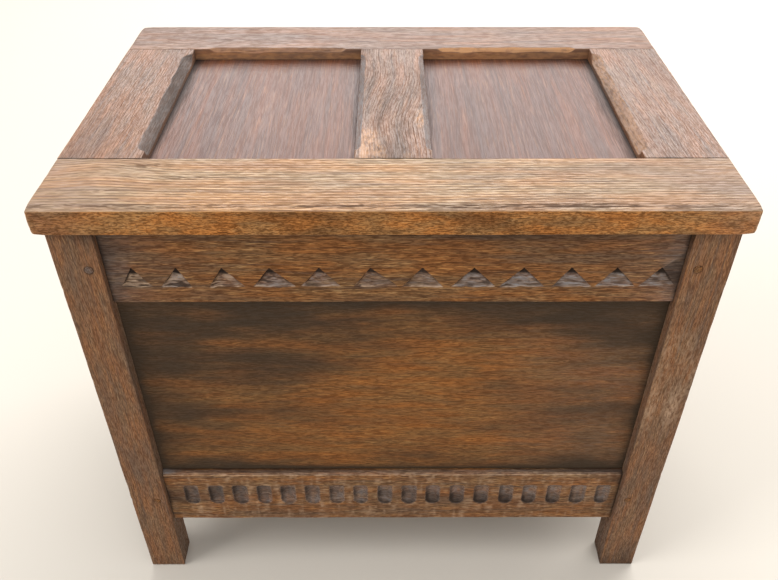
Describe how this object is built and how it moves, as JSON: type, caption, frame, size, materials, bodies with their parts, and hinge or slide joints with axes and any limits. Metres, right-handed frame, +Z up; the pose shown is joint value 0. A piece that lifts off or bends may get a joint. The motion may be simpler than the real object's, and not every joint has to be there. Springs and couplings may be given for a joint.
{
  "type": "slipper box",
  "caption": "Joined oak slipper box with frame-and-panel walls, carved front rails, square post feet and a hinged panelled lid over one storage well.",
  "frame": {"origin": "on the floor, below the middle of the lid", "axes": "+Z up, the carved front faces -Y, +X to the right seen from the front"},
  "size_m": [0.56, 0.381, 0.4823],
  "materials": {
    "oak_carcass": "dark stained oak, waxed",
    "oak_panel": "dark stained oak, waxed",
    "oak_lid": "stained oak, worn and waxed",
    "oak_lid_panel": "dark stained oak, waxed",
    "inner_wood": "bare",
    "hinge_brass": "dull"
  },
  "bodies": {
    "carcass": {"front_left_post": "oak_carcass", "front_right_post": "oak_carcass", "back_left_post": "oak_carcass", "back_right_post": "oak_carcass", "front_top_rail": "oak_carcass", "front_bottom_rail": "oak_carcass", "front_panel": "oak_panel", "back_top_rail": "oak_carcass", "back_bottom_rail": "oak_carcass", "back_panel": "oak_panel", "left_top_rail": "oak_carcass", "left_bottom_rail": "oak_carcass", "left_panel": "oak_panel", "right_top_rail": "oak_carcass", "right_bottom_rail": "oak_carcass", "right_panel": "oak_panel", "front_left_top_peg": "oak_carcass", "front_left_bottom_peg": "oak_carcass", "front_right_top_peg": "oak_carcass", "front_right_bottom_peg": "oak_carcass", "back_left_top_peg": "oak_carcass", "back_left_bottom_peg": "oak_carcass", "back_right_top_peg": "oak_carcass", "back_right_bottom_peg": "oak_carcass", "front_cleat": "inner_wood", "back_cleat": "inner_wood", "left_cleat": "inner_wood", "right_cleat": "inner_wood", "bottom_board": "inner_wood", "left_hinge_carcass_leaf": "hinge_brass", "left_hinge_pin": "hinge_brass", "left_hinge_carcass_screw_1": "hinge_brass", "left_hinge_carcass_screw_2": "hinge_brass", "left_hinge_carcass_screw_3": "hinge_brass", "right_hinge_carcass_leaf": "hinge_brass", "right_hinge_pin": "hinge_brass", "right_hinge_carcass_screw_1": "hinge_brass", "right_hinge_carcass_screw_2": "hinge_brass", "right_hinge_carcass_screw_3": "hinge_brass"},
    "lid": {"lid_front_rail": "oak_lid", "lid_back_rail": "oak_lid", "lid_left_stile": "oak_lid", "lid_right_stile": "oak_lid", "lid_muntin": "oak_lid", "lid_left_panel": "oak_lid_panel", "lid_right_panel": "oak_lid_panel", "left_hinge_lid_leaf": "hinge_brass", "left_hinge_lid_screw_1": "hinge_brass", "left_hinge_lid_screw_2": "hinge_brass", "left_hinge_lid_screw_3": "hinge_brass", "right_hinge_lid_leaf": "hinge_brass", "right_hinge_lid_screw_1": "hinge_brass", "right_hinge_lid_screw_2": "hinge_brass", "right_hinge_lid_screw_3": "hinge_brass"}
  },
  "joints": [
    {"name": "lid_hinge", "type": "hinge", "parent": "carcass", "child": "lid", "pos_m": [0, 0.1845, 0.4593], "axis": [-1, 0, 0], "range_deg": [0, 106]}
  ]
}
